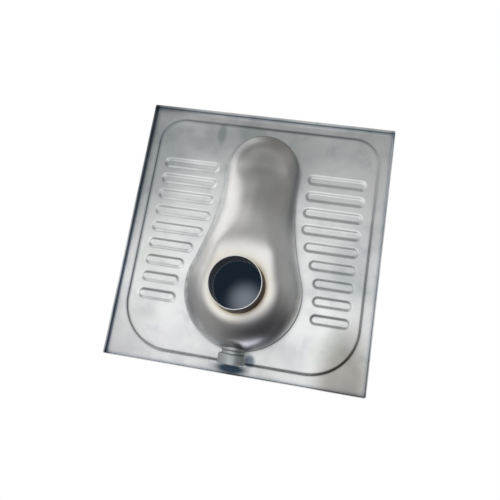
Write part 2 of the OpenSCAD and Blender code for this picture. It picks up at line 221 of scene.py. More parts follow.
def flat_card(name, width, length, place, faces):
    """A rectangle with its middle at place and its face towards faces."""
    x, y = width / 2, length / 2
    mesh = bpy.data.meshes.new(name)
    mesh.from_pydata([(-x, -y, 0), (x, -y, 0), (x, y, 0), (-x, y, 0)], [], [(0, 1, 2, 3)])
    obj = bpy.data.objects.new(name, mesh)
    turn = faces.to_track_quat("Z", "Y").to_matrix().to_4x4()
    obj.matrix_world = Matrix.Translation(place) @ turn
    scene.collection.objects.link(obj)
    obj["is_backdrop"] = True
    return obj


def only_seen_by(card, camera=False, glossy=False):
    """Draws the card for these kinds of ray and for no other."""
    card.visible_camera = camera
    card.visible_glossy = glossy
    card.visible_diffuse = False
    card.visible_transmission = False
    card.visible_volume_scatter = False
    card.visible_shadow = False


print("card helper ready")

# %% [markdown]
# ## The floor
# The pan stands on a pale floor, which shows only from above.  Seen from below, its back lets
# the camera through.  Far off it fades into the white of the world, so that no horizon cuts
# the picture.

# %% Floor
FLOOR_DROP = 0.4 * MM
FLOOR_SIZE = 6.0
FLOOR_PALE = (0.82, 0.82, 0.81, 1)
FADE_START, FADE_END = 0.7, 2.8


def add_floor():
    """A pale floor under the spigot's mouth, white far off, that only a camera above it sees."""
    floor = flat_card("floor", FLOOR_SIZE, FLOOR_SIZE, Vector((0, 0, cad_low.z - FLOOR_DROP)), UP)
    only_seen_by(floor, camera=True)
    finish = Finish("floor_pale")
    away = finish.vector("LENGTH", finish.add("NewGeometry").outputs["Position"])
    fade = finish.ramp(away, FADE_START, FADE_END)
    paint = finish.add("BsdfDiffuse", {"Color": FLOOR_PALE}).outputs["BSDF"]
    glow = finish.add("Emission").outputs["Emission"]
    finish.one_sided(finish.add("MixShader", {"Fac": fade, 1: paint, 2: glow}).outputs["Shader"])
    floor.data.materials.append(finish.material)


add_floor()
print("floor at", round((cad_low.z - FLOOR_DROP) / MM, 1), "mm")

# %% [markdown]
# ## What the steel mirrors
# Bare steel has no colour of its own to speak of: it shows its surroundings.  In the
# photograph it mirrors a room that is bright behind the camera's lower edge and to the left,
# and dark above and to the right.  Big cards that only mirror rays can see give the same
# surroundings here, as a photographer's grey cards do, while the camera sees clean white.

# %% Grey helpers
TENT = 3.0
TENT_LOW, TENT_HIGH = -1.6, 2.4


def set_stops(ramp, stops):
    """Fills a colour ramp with (place, grey) stops."""
    while len(ramp.elements) > 1:
        ramp.elements.remove(ramp.elements[0])
    ramp.interpolation = "EASE"
    ramp.elements[0].position = stops[0][0]
    for place, _ in stops[1:]:
        ramp.elements.new(place)
    for element, (_, grey) in zip(ramp.elements, stops):
        element.color = (grey, grey, grey, 1)


def graded(finish, value, low, high, stops):
    """A grey that follows the stops while value runs from low to high."""
    share = finish.ramp(value, low, high, kind="LINEAR")
    ramp = finish.add("ValToRGB", {"Fac": share})
    set_stops(ramp.color_ramp, stops)
    return ramp.outputs["Color"]


def shine(card, finish, grey):
    """Lets the card shine with the given grey, for mirror rays only."""
    finish.surface(finish.add("Emission", {"Color": grey}).outputs["Emission"])
    card.data.materials.append(finish.material)
    only_seen_by(card, glossy=True)


print("cards stand", TENT, "m away")

# %% [markdown]
# ## The card below the pan
# Most of what the photograph shows is a mirror image of what lies below the pan, round the
# camera.  One even card would make the steel look like grey plastic.  So this card has a
# bright spot, a slanted bright strip on the left, and two plain gradings that keep the rest
# from going black, and each point takes the lightest of them.

# %% Card below the pan
SPOT_NARROWING = 0.7
SPOT_MIDDLE = (-0.14 * SPOT_NARROWING, 0.08, TENT_LOW)
SPOT_GREYS = [(0.0, 1.0), (0.13, 1.0), (0.167, 0.90), (0.2, 0.77), (0.23, 0.66), (0.27, 0.52),
              (0.30, 0.43), (0.35, 0.31), (0.43, 0.18), (0.57, 0.0)]
LEFT_SLANT = 0.45
LEFT_GREYS = [(0.0, 0.95), (0.36, 0.95), (0.55, 0.0)]
LEFT_FADE = [(0.0, 1.0), (0.38, 1.0), (0.50, 0.65), (0.62, 0.38), (1.0, 0.27)]
ACROSS_GREYS = [(0.0, 0.27), (0.5, 0.17), (0.67, 0.10), (1.0, 0.08)]
FRONT_GREYS = [(0.0, 0.28), (0.35, 0.28), (0.55, 0.0)]


def card_below():
    """A bright spot left of the middle, and a strip on the left that fades to the back."""
    finish = Finish("card_below_grey")
    place = finish.add("NewGeometry").outputs["Position"]
    split = finish.add("SeparateXYZ", {0: place}).outputs
    squeezed = finish.vector("MULTIPLY", place, (SPOT_NARROWING, 1, 1))
    spot = graded(finish, finish.vector("DISTANCE", squeezed, SPOT_MIDDLE), 0, TENT, SPOT_GREYS)
    slanted = finish.maths("MULTIPLY_ADD", split["Y"], LEFT_SLANT, split["X"])
    strip = graded(finish, slanted, -TENT, 0, LEFT_GREYS)
    faded = finish.vector("MULTIPLY", strip, graded(finish, split["Y"], -TENT, TENT, LEFT_FADE))
    across = graded(finish, split["X"], -TENT, TENT, ACROSS_GREYS)
    front = graded(finish, split["Y"], -TENT, TENT, FRONT_GREYS)
    light = finish.vector("MAXIMUM", spot, faded)
    plain = finish.vector("MAXIMUM", across, front)
    card = flat_card("card_below", 2 * TENT, 2 * TENT, Vector((0, 0, TENT_LOW)), UP)
    shine(card, finish, finish.vector("MAXIMUM", light, plain))


card_below()
print("card below at", TENT_LOW, "m")

# %% [markdown]
# ## The cards round the pan
# Four upright cards stand round the pan, each graded along its length.  The bowl's flanks and
# the turned-down edge mirror these.  All are lighter at their tops, for the face that the
# user stands on, which the photograph doesn't show and which would be dark without them.

# %% Cards round the pan
WALL_GREYS = {
    "front": [(0.0, 0.95), (0.30, 0.90), (0.36, 0.66), (0.425, 0.27), (0.7, 0.27), (1.0, 0.27)],
    "back": [(0.0, 0.26), (0.25, 0.23), (0.42, 0.14), (0.6, 0.10), (1.0, 0.08)],
    "left": [(0.0, 1.00), (0.25, 0.85), (0.40, 0.60), (0.48, 0.36), (0.65, 0.28), (1.0, 0.24)],
    "right": [(0.0, 0.26), (0.17, 0.33), (0.40, 0.28), (0.55, 0.19), (0.75, 0.10), (1.0, 0.08)],
}
WALL_PLACES = {"front": (0, -1, "X"), "back": (0, 1, "X"), "left": (-1, 0, "Y"), "right": (1, 0, "Y")}
WALL_TOPS = {"front": TENT_HIGH, "back": 6.0, "left": TENT_HIGH, "right": TENT_HIGH}
TOP_GREYS = {"front": 0.9, "back": 0.1, "left": 0.35, "right": 0.7}
TOP_START, TOP_FULL = 0.6, 0.9


def card_wall(side):
    """An upright card on one side of the pan, graded along it and light at its top."""
    finish = Finish("card_" + side + "_grey")
    x, y, axis = WALL_PLACES[side]
    split = finish.add("SeparateXYZ", {0: finish.add("NewGeometry").outputs["Position"]}).outputs
    grey = graded(finish, split[axis], -TENT, TENT, WALL_GREYS[side])
    stops = [(TOP_START, 0.0), (TOP_FULL, TOP_GREYS[side])]
    top = graded(finish, split["Z"], TENT_LOW, TENT_HIGH, stops)
    height = WALL_TOPS[side] - TENT_LOW
    middle = Vector((x * TENT, y * TENT, TENT_LOW + height / 2))
    card = flat_card("card_" + side, 2 * TENT, height, middle, Vector((-x, -y, 0)))
    shine(card, finish, finish.vector("MAXIMUM", grey, top))


for side in WALL_PLACES:
    card_wall(side)

# %% [markdown]
# ## The dark seen through the outlet
# In the photograph the pan lies face down, so its outlet opens into shadow.  A small dark card
# over the bowl stands in for what it lies on.  Only a camera below sees it: from above, its
# back is clear, so it never hides the tread.

# %% Dark card over the bowl
SHADE_MIDDLE = Vector((-0.026, 0.100, 0.004))
SHADE_SIZE = 0.24
SHADE_DARK = (0.010, 0.017, 0.028, 1)
SHADE_LIGHT = (0.17, 0.19, 0.22, 1)
GLEAM_MIDDLE = SHADE_MIDDLE + Vector((0.030, 0.036, 0))
GLEAM_REACH = 0.058


def shade_card():
    """A dark card with a faint gleam on it, as deep shadow on a smooth floor has."""
    card = flat_card("shade", SHADE_SIZE, SHADE_SIZE, SHADE_MIDDLE, -UP)
    only_seen_by(card, camera=True)
    finish = Finish("shade_dark")
    apart = finish.vector("DISTANCE", finish.add("NewGeometry").outputs["Position"], GLEAM_MIDDLE)
    fade = finish.ramp(apart, 0, GLEAM_REACH, kind="SMOOTHERSTEP")
    grey = finish.add("Mix", {"Factor": fade, 6: SHADE_LIGHT, 7: SHADE_DARK}, data_type="RGBA")
    glow = finish.add("Emission", {"Color": grey.outputs[2]})
    finish.one_sided(glow.outputs["Emission"])
    card.data.materials.append(finish.material)


shade_card()
print("dark card over the bowl at", [round(v, 3) for v in SHADE_MIDDLE])

# %% [markdown]
# ## Lamps
# Three large soft lamps above the pan light the floor and draw the ribs of the tread.  Small
# lamps would leave hard spots in the steel.  They stay at a plain level, so a colour renders
# about as it is written.

# %% Lamps
def add_lamp(name, place, size, power):
    """A soft square lamp that looks at the pan."""
    data = bpy.data.lights.new(name, "AREA")
    data.size = size
    data.energy = power
    lamp = bpy.data.objects.new(name, data)
    lamp.location = place
    lamp.rotation_euler = (-place).to_track_quat("-Z", "Y").to_euler()
    scene.collection.objects.link(lamp)


add_lamp("lamp_key", place=Vector((-1.1, -1.3, 1.9)), size=1.2, power=32)
add_lamp("lamp_fill", place=Vector((1.6, -0.4, 1.5)), size=1.4, power=14)
add_lamp("lamp_back", place=Vector((0.3, 1.8, 1.4)), size=1.2, power=12)

# %% [markdown]
# ## Sizes of the pressed sheet
# The tray and the bowl are pressed from thin sheet.  Their outer sizes come from the packed
# model, and the sizes of the press tools are repeated here, in metres.  The skirt is the edge
# turned down round the tray, and the fold is the bend above it.  The rim is the flat band
# outside the step, and the collar is the neck drawn down round the opening.

# %% Sizes
SHEET = 1.2 * MM
tray_low, tray_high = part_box("tread_tray")
bowl_low, bowl_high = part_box("bowl")
spigot_low, spigot_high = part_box("outlet_spigot")
TRAY_W = tray_high.x - tray_low.x
TRAY_L = tray_high.y - tray_low.y
SKIRT = 16 * MM
FOLD_R = 3 * MM
CORNER_R = 4 * MM
RIM_W = 27 * MM
STEP_H = 8 * MM
STEP_RUN = 8 * MM
STEP_FRONT_R = 59 * MM
STEP_REAR_R = 108 * MM
COLLAR_R = 6 * MM
COLLAR_END = tray_low.z
print("tray", round(TRAY_W / MM), "x", round(TRAY_L / MM), "mm, sheet", round(SHEET / MM, 1), "mm")

# %% [markdown]
# ## The opening's outline
# The opening is narrow in front and wide at the outlet.  Three arcs that touch without a
# corner make each side: a small end, a hollow flank and a large end.  The outline moved in or
# out stays the same three arcs with other radii, so every bend round it can be swept.

# %% Outline of the opening
FRONT_R = 87 * MM
REAR_R = 131 * MM
WAIST_R = 600 * MM
FRONT_SETBACK = 142 * MM
FRONT_Y = tray_low.y + FRONT_SETBACK
OUTLET_Y = (spigot_low.y + spigot_high.y) / 2
SPAN = OUTLET_Y - FRONT_Y
FRONT_STEPS, WAIST_STEPS, REAR_STEPS = 30, 44, 44
front_reach = WAIST_R + FRONT_R
rear_reach = WAIST_R + REAR_R
waist_dy = (front_reach ** 2 - rear_reach ** 2 + SPAN ** 2) / (2 * SPAN)
WAIST_Y = FRONT_Y + waist_dy
WAIST_X = math.sqrt(front_reach ** 2 - waist_dy ** 2)
FRONT_TURN = math.atan2(WAIST_Y - FRONT_Y, WAIST_X)
REAR_TURN = math.atan2(WAIST_Y - OUTLET_Y, WAIST_X)


def arc(centre, radius, start, end, steps):
    """Points along an arc, both ends included."""
    turn = np.linspace(start, end, steps + 1)
    return np.c_[centre[0] + radius * np.cos(turn), centre[1] + radius * np.sin(turn)]


def opening(inset):
    """The closed outline, moved inwards by inset, from the front round by the right side."""
    front = arc((0, FRONT_Y), FRONT_R - inset, -math.pi / 2, FRONT_TURN, FRONT_STEPS)
    waist = arc((WAIST_X, WAIST_Y), WAIST_R + inset,
                math.pi + FRONT_TURN, math.pi + REAR_TURN, WAIST_STEPS)
    rear = arc((0, OUTLET_Y), REAR_R - inset, REAR_TURN, math.pi / 2, REAR_STEPS)
    right = np.vstack([front[:-1], waist, rear[1:]])
    return np.vstack([right, right[-2:0:-1] * (-1, 1)])


print("outline points:", len(opening(0)), "- outlet at y", round(OUTLET_Y / MM), "mm")

# %% [markdown]
# ## Outlines of the tray
# The tray's edge and its step are rectangles with rounded corners.  A bevel could round them,
# but outlines written as points keep the same number of points at every inset, and that is
# what a sweep round them needs.

# %% Rounded rectangle
CORNER_STEPS, SIDE_STEPS = 24, 56


def between(start, end, steps):
    """Points on the straight line from start to end, both ends left out."""
    share = np.linspace(0, 1, steps + 1)[1:-1, None]
    return start * (1 - share) + end * share


def rounded_rect(inset, width, length, front_r, rear_r):
    """A rectangle with two front and two rear corner radii, moved inwards by inset."""
    hx, hy = width / 2 - inset, length / 2 - inset
    front, rear = max(front_r - inset, 0), max(rear_r - inset, 0)
    corners = [((hx - front, front - hy), front, -math.pi / 2), ((hx - rear, hy - rear), rear, 0),
               ((rear - hx, hy - rear), rear, math.pi / 2), ((front - hx, front - hy), front, math.pi)]
    bends = [arc(c, r, a, a + math.pi / 2, CORNER_STEPS) for c, r, a in corners]
    loop = []
    for bend, ahead in zip(bends, bends[1:] + bends[:1]):
        loop += [bend, between(bend[-1], ahead[0], SIDE_STEPS)]
    return np.vstack(loop)


print("points round a rounded rectangle:", len(rounded_rect(0, 1, 1, 0.1, 0.1)))

# %% [markdown]
# ## Strips swept round a loop
# A bend in a pressed sheet is one section carried round an outline.  The section is a short
# list of (distance inwards, height), and each of its points becomes one loop of vertices.
# Strips that meet share their edge points, which are joined when the mesh is built.

# %% Sheet helper
POINT_GAP = 0.01 * MM
DARKENING_SPREAD = 0.3


def join_doubles(mesh, gap):
    """Joins points that lie on one another, and drops the slivers between them."""
    shape = bmesh.new()
    shape.from_mesh(mesh)
    bmesh.ops.remove_doubles(shape, verts=shape.verts, dist=gap)
    bmesh.ops.dissolve_degenerate(shape, edges=shape.edges, dist=gap)
    bmesh.ops.recalc_face_normals(shape, faces=shape.faces)
    shape.to_mesh(mesh)
    shape.free()


class Sheet:
    """Gathers the points and faces of one sheet, and how much dirt and painted shade each point has."""

    def __init__(self):
        self.points = []
        self.faces = []
        self.dirt_and_shade = []

    def add(self, points, dirt_and_shade=None):
        """Adds points, with no dirt or shade if none is given, and returns the first one's number."""
        first = len(self.points)
        self.points.extend(map(tuple, points))
        self.dirt_and_shade.extend(np.zeros(len(points)) if dirt_and_shade is None else dirt_and_shade)
        return first

    def skin(self, loops, dirt_and_shade=None):
        """Adds closed loops and joins each to the next with four-sided faces."""
        count = len(loops[0])
        first = self.add(np.vstack(loops), dirt_and_shade)
        for j in range(len(loops) - 1):
            for i in range(count):
                a = first + j * count + i
                b = first + j * count + (i + 1) % count
                self.faces.append((a, b, b + count, a + count))

    def sweep(self, loop_at, section, darkened=False):
        """Carries a section round an outline; dirt and painted shade gather half-way down it."""
        loops = [np.c_[loop_at(inset), np.full(len(loop_at(inset)), height)] for inset, height in section]
        dirt_and_shade = np.zeros(len(loops))
        if darkened:
            dirt_and_shade = np.sin(np.linspace(0, math.pi, len(loops))) ** DARKENING_SPREAD
        self.skin(loops, np.repeat(dirt_and_shade, len(loops[0])))

    def build(self, name):
        """A mesh of all that was gathered."""
        mesh = bpy.data.meshes.new(name)
        mesh.from_pydata(self.points, [], self.faces)
        mesh.attributes.new("dirt_and_shade", "FLOAT", "POINT").data.foreach_set("value", self.dirt_and_shade)
        join_doubles(mesh, POINT_GAP)
        return mesh


print("sheet helper ready")

# %% [markdown]
# ## Sections of the bends
# The step rolls from one level to the next through two equal arcs, the soft shoulder that a
# press tool leaves.  The ribs rise more gently, in half a wave, and the fold and the collar
# are quarter bends.  Smooth shading blends each face with its neighbours, so a sliver of flat
# sheet at a section's ends takes up that blend and keeps the wide flat faces clean.

# %% Sections
FLAT = 0.6 * MM
STEP_FLAT = 3.5 * MM
BEND_STEPS = 7
QUARTER_STEPS = 9


def roll(run, rise):
    """From (0, 0) level, through two equal arcs, to (run, rise) level."""
    turn = 2 * math.atan2(abs(rise), run)
    radius = run / 2 / math.sin(turn)
    a = np.linspace(0, turn, BEND_STEPS + 1)
    side = math.copysign(1, rise)
    first = np.c_[radius * np.sin(a), side * radius * (1 - np.cos(a))]
    second = (run, rise) - first[-2::-1]
    return np.vstack([first, second])


def swell(run, rise):
    """A softer rise than a roll: half a cosine wave, as a shallow press leaves."""
    share = np.linspace(0, 1, 2 * BEND_STEPS + 1)
    return np.c_[run * share, rise * (1 - np.cos(math.pi * share)) / 2]


def quarter_bend(radius):
    """A quarter bend down from level: (distance, height) from (0, 0)."""
    a = np.linspace(0, math.pi / 2, QUARTER_STEPS + 1)
    return np.c_[radius * np.sin(a), -radius * (1 - np.cos(a))]


def with_flats(section, flat=FLAT, end=True):
    """The section with a sliver of flat sheet at the ends that meet flat sheet."""
    parts = [section[:1] - (flat, 0), section]
    if end:
        parts.append(section[-1:] + (flat, 0))
    return np.vstack(parts)


print("the step's roll has", len(roll(STEP_RUN, -STEP_H)), "points")

# %% [markdown]
# ## Flat sheet between outlines
# The rim and the tread plate are flat regions with holes, and a face in Blender can't have a
# hole.  A Delaunay triangulation joins the outlines exactly, and a loose grid of points
# inside lets the sheet be warped slightly later.

# %% Which points lie on the sheet
def inside(points, loop):
    """True for each point inside the closed loop, by counting crossings to the right."""
    x, y = points[:, 0][:, None], points[:, 1][:, None]
    ahead = np.roll(loop, -1, 0)
    ax, ay = loop[:, 0][None], loop[:, 1][None]
    bx, by = ahead[:, 0][None], ahead[:, 1][None]
    cross = (ay > y) != (by > y)
    at = (bx - ax) * (y - ay) / np.where(by == ay, 1, by - ay) + ax
    return (cross & (x < at)).sum(1) % 2 == 1


def on_sheet(points, outer, holes):
    """True for each point inside the outer loop and in none of the holes."""
    keep = inside(points, outer)
    for hole in holes:
        keep &= ~inside(points, hole)
    return keep


def gap_to(points, edge, chunk=60):
    """How far each point is from the nearest edge point, worked out a chunk at a time."""
    gap = np.full(len(points), np.inf)
    for start in range(0, len(edge), chunk):
        apart = np.linalg.norm(points[:, None] - edge[None, start:start + chunk], axis=2)
        gap = np.minimum(gap, apart.min(1))
    return gap


print("the origin lies in the opening:", inside(np.zeros((1, 2)), opening(0))[0])

# %% Flat filling
LOOSENESS = 0.2
JOIN_GAP = 1e-7


def loose_grid(low, high, spacing, seed):
    """A grid of points between two corners, each moved a little so that no rows show."""
    rng = np.random.default_rng(seed)
    xs, ys = np.arange(low[0], high[0], spacing), np.arange(low[1], high[1], spacing)
    grid = np.stack(np.meshgrid(xs, ys), -1).reshape(-1, 2)
    return grid + rng.uniform(-LOOSENESS, LOOSENESS, (len(xs) * len(ys), 2)) * spacing


def fill_flat(sheet, outer, holes, level, spacing, seed):
    """Triangles at one level between the outer loop and the holes; returns how many."""
    loops = [outer, *holes]
    edge = np.vstack(loops)
    grid = loose_grid(outer.min(0), outer.max(0), spacing, seed)
    grid = grid[on_sheet(grid, outer, holes)]
    grid = grid[gap_to(grid, edge) > 0.5 * spacing]
    edges = []
    for loop in loops:
        first = len(edges)
        edges += [(first + i, first + (i + 1) % len(loop)) for i in range(len(loop))]
    points = [Vector(p) for p in np.vstack([edge, grid])]
    out, _, triangles, *_ = delaunay_2d_cdt(points, edges, [], 0, JOIN_GAP)
    out = np.array([tuple(p) for p in out])
    triangles = np.array(triangles)
    triangles = triangles[on_sheet(out[triangles].mean(1), outer, holes)]
    start = sheet.add(np.c_[out, np.full(len(out), level)])
    sheet.faces.extend(tuple(int(v) + start for v in t) for t in triangles)
    return len(triangles)


print("flat filling ready")

# %% [markdown]
# ## The ribs under the feet
# Nine ribs a side give the foot its grip.  Each is a long oval pressed up from the plate.  Its inner end
# follows the bowl's outline, so the ribs get shorter towards the wide end.  A bump in the material would
# only look raised, while a swept rib is also right from the side and in the mesh itself.

# %% Rib outlines
RIB_COUNT = 9
RIB_PITCH = 39.4 * MM
RIB_W = 28 * MM
RIB_H = 2.6 * MM
RIB_RUN = 9 * MM
RIB_FIRST = tray_low.y + 140 * MM
RIB_OUTER = TRAY_W / 2 - RIM_W - STEP_RUN / 2 - 16 * MM
RIB_NEAR, RIB_FAR = FRONT_R + 15 * MM, REAR_R + 18 * MM
SWING_START, SWING_END = FRONT_Y + 98 * MM, OUTLET_Y - 10 * MM
RIB_END_STEPS, RIB_SIDE_STEPS = 18, 13


def ease(share):
    """Smooth rise from 0 to 1."""
    return (1 - np.cos(math.pi * np.clip(share, 0, 1))) / 2


def rib_loop(side, number):
    """A function that gives the rib's outline moved inwards."""
    y = RIB_FIRST + number * RIB_PITCH
    inner = RIB_NEAR + (RIB_FAR - RIB_NEAR) * ease((y - SWING_START) / (SWING_END - SWING_START))
    low, high = round(inner, 4) + RIB_W / 2, RIB_OUTER - RIB_W / 2

    def loop(inset):
        radius = RIB_W / 2 - inset
        outer_end = arc((high, y), radius, -math.pi / 2, math.pi / 2, RIB_END_STEPS)
        inner_end = arc((low, y), radius, math.pi / 2, 3 * math.pi / 2, RIB_END_STEPS)
        rear = between(outer_end[-1], inner_end[0], RIB_SIDE_STEPS)
        front = between(inner_end[-1], outer_end[0], RIB_SIDE_STEPS)
        return np.vstack([outer_end, rear, inner_end, front]) * (side, 1)
    return loop


ribs = [rib_loop(side, number) for side in (-1, 1) for number in range(RIB_COUNT)]
print("ribs:", len(ribs))

# %% [markdown]
# ## The tray
# The tray is made as a single skin, its tread face, and then given the sheet's thickness.
# That is how the real one comes about: one flat blank, bent by the press.  The skin is warped
# by a fraction of a millimetre, because a thin sheet never comes out dead flat, and the
# mirror-like reflections would look false without it.

# %% Tray skin
RIM_IN = RIM_W - STEP_RUN / 2
PLATE = -STEP_H
SKIRT_RING = 0.6 * SKIRT
CROWN_START = RIB_RUN + 3 * MM
WARP = 0.40 * MM
WARP_SPACING = 80 * MM
WARP_SEED = 7


def tray_loop(inset):
    """The tray's edge, moved inwards by inset."""
    return rounded_rect(inset, TRAY_W, TRAY_L, CORNER_R, CORNER_R)


def step_loop(inset):
    """The step's upper edge, moved inwards by inset."""
    return rounded_rect(inset, TRAY_W - 2 * RIM_IN, TRAY_L - 2 * RIM_IN,
                        STEP_FRONT_R + STEP_RUN / 2, STEP_REAR_R + STEP_RUN / 2)


def warp(sheet, still, fade):
    """Lifts and drops the sheet a little, but not at the still outline nor below the plate."""
    points = np.array(sheet.points)
    share = np.clip(gap_to(points[:, :2], still) / fade, 0, 1) * (points[:, 2] > PLATE - SHEET)
    lift = [noise.noise(Vector((x, y, WARP_SEED)) / WARP_SPACING) for x, y, _ in points]
    points[:, 2] += WARP * share * np.array(lift)
    sheet.points = [tuple(p) for p in points]


def tray_sheet():
    """The tread face of the tray: skirt, fold, rim, step, plate, ribs and collar."""
    sheet = Sheet()
    fold = quarter_bend(FOLD_R)[::-1] * (-1, 1) + (FOLD_R, 0)
    sheet.sweep(tray_loop, np.vstack([[(0, -SKIRT), (0, -SKIRT_RING)], fold, [(FOLD_R + FLAT, 0)]]))
    # The step gets dirt and painted shade half-way down it.
    sheet.sweep(step_loop, with_flats(roll(STEP_RUN, -STEP_H), STEP_FLAT), darkened=True)
    side = with_flats(swell(RIB_RUN, RIB_H)) + (0, PLATE)
    crown = [(CROWN_START, PLATE + RIB_H), (RIB_W / 2, PLATE + RIB_H)]
    for rib in ribs:
        sheet.sweep(rib, np.vstack([side, crown]))
    bend = with_flats(quarter_bend(COLLAR_R), end=False) + (0, PLATE)
    sheet.sweep(opening, np.vstack([bend, [(COLLAR_R, COLLAR_END)]]))
    rim = fill_flat(sheet, tray_loop(FOLD_R + FLAT), [step_loop(-STEP_FLAT)],
                    level=0.0, spacing=7 * MM, seed=3)
    holes = [opening(-FLAT)] + [rib(-FLAT) for rib in ribs]
    plate = fill_flat(sheet, step_loop(STEP_RUN + STEP_FLAT), holes,
                      level=PLATE, spacing=8 * MM, seed=5)
    warp(sheet, still=opening(0), fade=40 * MM)
    print("tray skin:", len(sheet.points), "points,", rim + plate, "flat triangles")
    return sheet


tray_mesh = tray_sheet().build("tray_pressed")

# %% [markdown]
# ## From skin to sheet metal
# A skin has no thickness.  The solidify modifier gives it the sheet's, on the side away from
# its face, and boolean modifiers cut the round holes, as a drill would.  Both are applied, so
# that the piece is a plain mesh.  Edges sharper than a bend's own facets stay sharp.

# %% Sheet metal
CUT_GAP = 0.03 * MM
SHARP = math.radians(38)


def face_up(mesh, up=True):
    """Turns the skin over if most of its area faces the wrong way."""
    total = sum(p.area * p.normal.z for p in mesh.polygons)
    if (total > 0) != up:
        mesh.flip_normals()


def thicken(mesh, name, cutters=()):
    """Gives a skin the sheet's thickness behind its face, then cuts holes."""
    obj = bpy.data.objects.new(name, mesh)
    scene.collection.objects.link(obj)
    solid = obj.modifiers.new("sheet", "SOLIDIFY")
    solid.thickness = SHEET
    solid.offset = -1
    solid.use_even_offset = True
    for cutter in cutters:
        hole = obj.modifiers.new("hole", "BOOLEAN")
        hole.operation = "DIFFERENCE"
        hole.solver = "EXACT"
        hole.object = cutter
    shaped = obj.evaluated_get(bpy.context.evaluated_depsgraph_get())
    settled = bpy.data.meshes.new_from_object(shaped)
    obj.modifiers.clear()
    if cutters:
        join_doubles(settled, CUT_GAP)
    obj.data = settled
    settled.shade_smooth()
    settled.set_sharp_from_angle(angle=SHARP)
    for cutter in cutters:
        bpy.data.objects.remove(cutter)
    return obj


face_up(tray_mesh)
tray = thicken(tray_mesh, "tray_pressed")
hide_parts("tread_tray")
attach(tray, "root")
print("tray:", len(tray.data.polygons), "faces")

# %% [markdown]
# ## The bowl
# The bowl is the hard piece: a deep-drawn shell, shallow and narrow in front and deep and
# wide at the outlet.  Sculpting it would leave dents that a mirror finish shows at once, so
# its surface is a formula on the opening's outline.  From each outline point a line runs in
# to the bowl's spine.  The outer part of that line is the wall, a quarter of a rounded
# square, and the rest is the bottom, which falls towards the outlet.

# %% How the bottom falls
BOWL_EDGE = bowl_high.z
BOTTOM_REAR = bowl_low.z
FRONT_DEPTH = 66 * MM
BOTTOM_FRONT = -FRONT_DEPTH - SHEET
LAP_GAP = 0.1 * MM
SKIN_INSET = COLLAR_R - SHEET - LAP_GAP - SHEET
LAND_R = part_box("outlet_weld")[1].x + 4 * MM
FALL_END = 0.97 * (1 - LAND_R / SPAN)
CREST_LEAD = 18 * MM
CREST_BOW = 7.0


def bowl_columns():
    """For each outline point: its place, and how far back its point on the spine lies."""
    loop = opening(SKIN_INSET)
    waist = np.linspace(0, 1, WAIST_STEPS + 1)
    right = np.concatenate([np.zeros(FRONT_STEPS), waist, np.ones(REAR_STEPS)])
    return loop, np.concatenate([right, right[-2:0:-1]])


def bottom_level(x, y):
    """The bottom's height at a place: it falls to the back, and later beside the spine."""
    bowed = y - CREST_BOW * x ** 2
    return BOTTOM_FRONT + (BOTTOM_REAR - BOTTOM_FRONT) * ease((bowed - FRONT_Y) / SPAN / FALL_END)


depths = [round(-bottom_level(0, FRONT_Y + share * SPAN) / MM) for share in (0, 0.5, 1)]
print("depth in front, half-way and at the outlet:", depths, "mm")

# %% [markdown]
# ## The arch of light on the bowl
# In the photograph an arch of light lies on the slope that leads down to the outlet.  What a
# mirror shows depends on its slope, so the arch comes from the shape: the lines of equal
# height bow round the outlet instead of running straight across.  The hyperbolic tangent
# eases the bow off up the wall, because a kink would mirror as a hard line.

# %% Bowl skin
FLAT_FRONT = 0.40
FLAT_REAR = LAND_R / REAR_R
FLAT_DIP = 0.25
DIP_SHAPE = 1.2
POWER_FRONT, POWER_REAR = 2.9, 2.2
WALL_ROWS, BOTTOM_ROWS = 30, 16


def bowl_sheet():
    """The bowl's outer face: rows of wall from the edge inwards, then rows of bottom."""
    loop, run = bowl_columns()
    spine = FRONT_Y + SPAN * run
    fall = ease(run / FALL_END)
    middle = np.sin(math.pi * np.clip(run / FALL_END, 0, 1)) ** DIP_SHAPE
    flat = FLAT_FRONT + (FLAT_REAR - FLAT_FRONT) * fall - FLAT_DIP * middle
    power = POWER_FRONT + (POWER_REAR - POWER_FRONT) * fall

    def bottom_at(rho):
        """The bottom's height a share rho of the way from the spine to the outline."""
        y = spine + rho * (loop[:, 1] - spine) + CREST_LEAD * run
        return bottom_level(flat * np.tanh(rho / flat) * loop[:, 0], y)

    rows = []
    for tau in np.sin(np.linspace(math.pi / 2, 0, WALL_ROWS + 1)):
        drop = (1 - tau ** power) ** (1 / power)
        rho = flat + (1 - flat) * tau
        rows.append((rho, BOWL_EDGE + (bottom_at(rho) - BOWL_EDGE) * drop))
    for share in np.linspace(1, 0, BOTTOM_ROWS + 1)[1:]:
        rows.append((flat * share, bottom_at(flat * share)))
    sheet = Sheet()
    sheet.skin([np.c_[rho * loop[:, 0], spine + rho * (loop[:, 1] - spine), height]
                for rho, height in rows])
    return sheet


bowl_mesh = bowl_sheet().build("bowl_drawn")
face_up(bowl_mesh, up=False)
print("bowl skin:", len(bowl_mesh.vertices), "points")

# %% [markdown]
# ## Holes for the outlet and the flush inlet
# The bowl has to be pierced after drawing, for the spigot and for the inlet's nipple.
# Two closed rods cut the same holes here.  A boolean on such a fine mesh leaves slivers a
# few hundredths of a millimetre wide, and joining the points closes the shell again.

# %% Cut the bowl
nipple_low, nipple_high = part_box("inlet_nipple")
INLET_Z = (nipple_low.z + nipple_high.z) / 2
NIPPLE_R = (nipple_high.x - nipple_low.x) / 2
OUTLET_R = (spigot_high.x - spigot_low.x) / 2
TUBE_WALL = 1.5 * MM
OUTLET_SPARE, INLET_SPARE = 10 * MM, 20 * MM


